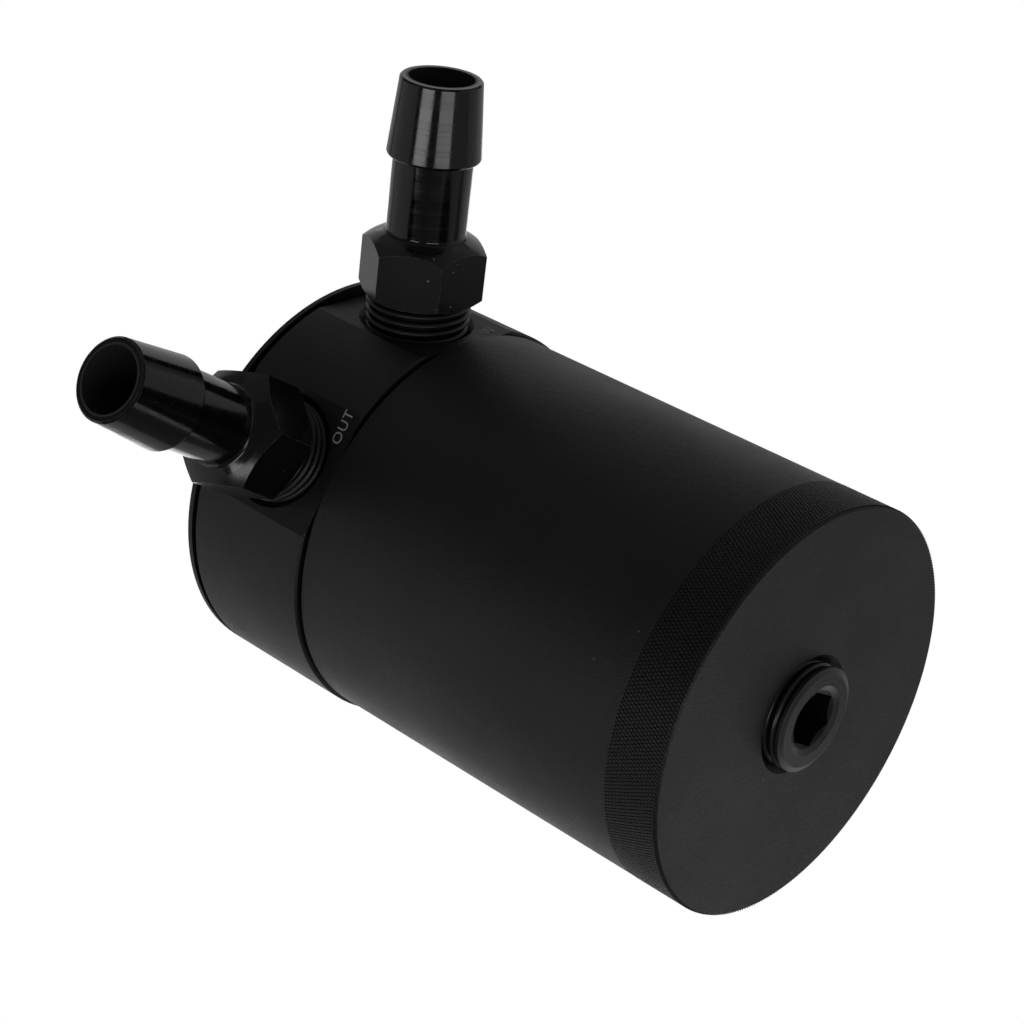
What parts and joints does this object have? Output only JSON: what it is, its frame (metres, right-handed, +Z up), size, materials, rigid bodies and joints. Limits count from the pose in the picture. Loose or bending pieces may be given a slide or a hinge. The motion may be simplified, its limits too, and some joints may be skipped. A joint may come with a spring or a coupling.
{
  "type": "oil catch can",
  "caption": "Small round crankcase oil catch can: a turned head with barbed hose fittings and a filter, over a screw-on can with a knurled foot and a drain plug.",
  "frame": {"origin": "centre of the head's flat top face, midway between the two tapped holes for its bracket", "axes": "+Z up along the can's axis, out of the top face; -Y towards the front, midway between the two hose fittings; +X towards the inlet's side"},
  "size_m": [0.082, 0.0977, 0.1005],
  "materials": {
    "head": "black anodised over a fine bead-blasted surface, matte",
    "can": "black anodised over a fine bead-blasted surface, matte",
    "fitting": "gloss black anodised, turned",
    "plug": "dark grey anodised, satin",
    "seal_rubber": "matte black rubber",
    "bare_aluminium": "bare, satin",
    "sintered_bronze": "sintered bronze, rough",
    "bolt_steel": "zinc plated, satin"
  },
  "bodies": {
    "head": {"head": "head", "outlet_fitting": "fitting", "inlet_fitting": "fitting", "inlet_tube": "bare_aluminium", "filter_top_seal": "seal_rubber", "filter_sleeve": "sintered_bronze", "filter_bottom_seal": "seal_rubber", "baffle_plate": "bare_aluminium", "centre_bolt": "bolt_steel"},
    "seal": {"can_seal": "seal_rubber"},
    "can": {"can": "can"},
    "drain_plug": {"drain_plug": "plug"}
  },
  "joints": [
    {"name": "can_lower", "type": "slide", "parent": "head", "child": "seal", "axis": [0, 0, -1], "range_m": [0, 0.009]},
    {"name": "can_unscrew", "type": "hinge", "parent": "seal", "child": "can", "pos_m": [0, 0, -0.0622], "axis": [0, 0, -1], "range_deg": [0, 2160]},
    {"name": "drain_plug_out", "type": "slide", "parent": "can", "child": "drain_plug", "axis": [0, 0, -1], "range_m": [0, 0.012]}
  ],
  "couplings": [
    {"joint": "can_lower", "follows": "can_unscrew", "m_per_rad": 0.00023873}
  ]
}
